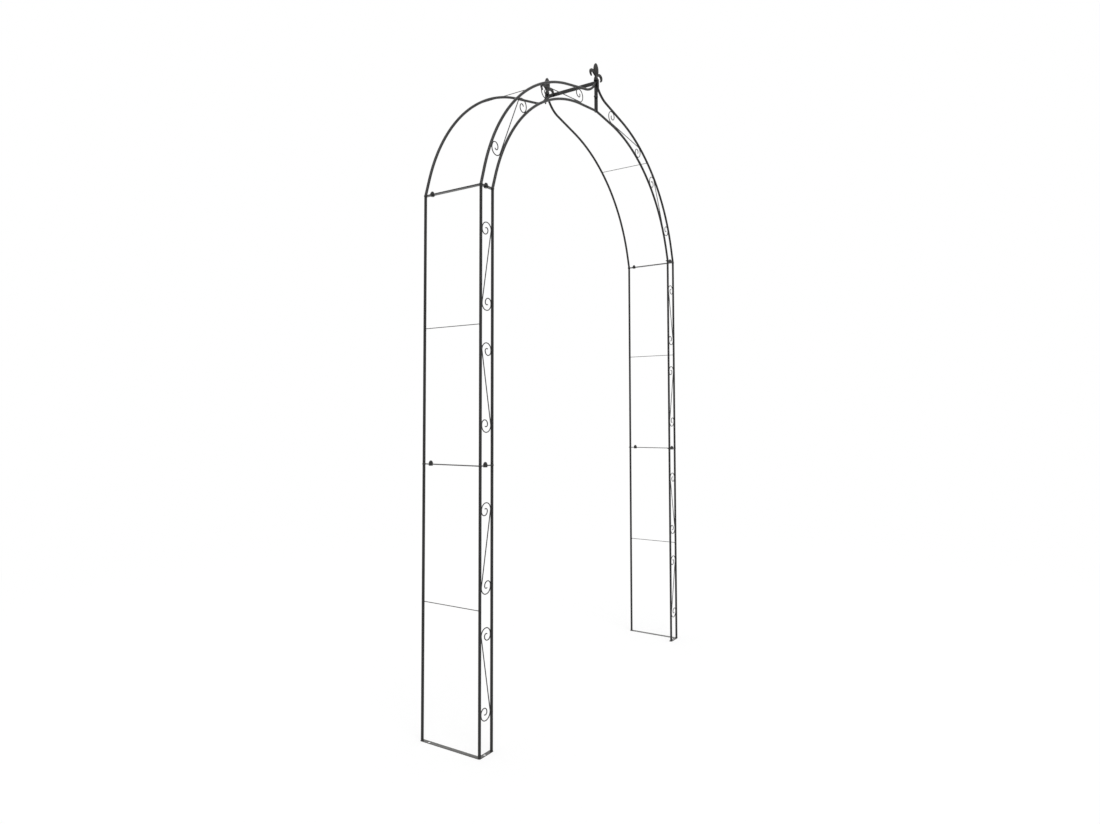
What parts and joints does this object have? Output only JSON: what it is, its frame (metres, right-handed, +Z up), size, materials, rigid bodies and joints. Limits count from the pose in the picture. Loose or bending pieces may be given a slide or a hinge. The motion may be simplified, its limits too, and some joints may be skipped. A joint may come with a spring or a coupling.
{
  "type": "garden arch",
  "caption": "Walk-through garden arch with slim L-plan legs, wire scrolls, a pointed crown and a ridge with two leaf finials.",
  "frame": {"origin": "on the ground in the middle of the footprint, midway between the legs and between the front and back tubes", "axes": "+Z up, +X across the span, -Y towards the face with the scrolls; metres"},
  "size_m": [1.492, 0.2766, 2.5775],
  "materials": {
    "frame_paint": "satin black powder coat with a fine pebble",
    "bolt_paint": "satin black finish on small hex bolts and domed nuts",
    "finial_paint": "satin black paint over a rough casting"
  },
  "bodies": {
    "root": {"apex_post_bolt": "bolt_paint", "apex_ridge_bolt": "bolt_paint", "back_finial": "finial_paint", "front_finial": "finial_paint", "left_arch_apex_strip": "frame_paint", "left_arch_back_tube": "frame_paint", "left_arch_front_tube": "frame_paint", "left_arch_high_scroll": "frame_paint", "left_arch_inner_tube": "frame_paint", "left_arch_low_scroll": "frame_paint", "left_arch_rung": "frame_paint", "left_arch_spring_strip": "frame_paint", "left_knee_front_bolt": "bolt_paint", "left_knee_side_bolt": "bolt_paint", "left_lower_back_post": "frame_paint", "left_lower_bottom_strip": "frame_paint", "left_lower_corner_post": "frame_paint", "left_lower_high_scroll": "frame_paint", "left_lower_inner_post": "frame_paint", "left_lower_low_scroll": "frame_paint", "left_lower_rung": "frame_paint", "left_lower_top_strip": "frame_paint", "left_spring_front_bolt": "bolt_paint", "left_spring_side_bolt": "bolt_paint", "left_upper_back_post": "frame_paint", "left_upper_bottom_strip": "frame_paint", "left_upper_corner_post": "frame_paint", "left_upper_high_scroll": "frame_paint", "left_upper_inner_post": "frame_paint", "left_upper_low_scroll": "frame_paint", "left_upper_rung": "frame_paint", "left_upper_top_strip": "frame_paint", "right_arch_apex_strip": "frame_paint", "right_arch_back_tube": "frame_paint", "right_arch_front_tube": "frame_paint", "right_arch_high_scroll": "frame_paint", "right_arch_inner_tube": "frame_paint", "right_arch_low_scroll": "frame_paint", "right_arch_rung": "frame_paint", "right_arch_spring_strip": "frame_paint", "right_knee_front_bolt": "bolt_paint", "right_knee_side_bolt": "bolt_paint", "right_lower_back_post": "frame_paint", "right_lower_bottom_strip": "frame_paint", "right_lower_corner_post": "frame_paint", "right_lower_high_scroll": "frame_paint", "right_lower_inner_post": "frame_paint", "right_lower_low_scroll": "frame_paint", "right_lower_rung": "frame_paint", "right_lower_top_strip": "frame_paint", "right_spring_front_bolt": "bolt_paint", "right_spring_side_bolt": "bolt_paint", "right_upper_back_post": "frame_paint", "right_upper_bottom_strip": "frame_paint", "right_upper_corner_post": "frame_paint", "right_upper_high_scroll": "frame_paint", "right_upper_inner_post": "frame_paint", "right_upper_low_scroll": "frame_paint", "right_upper_rung": "frame_paint", "right_upper_top_strip": "frame_paint"}
  },
  "joints": []
}
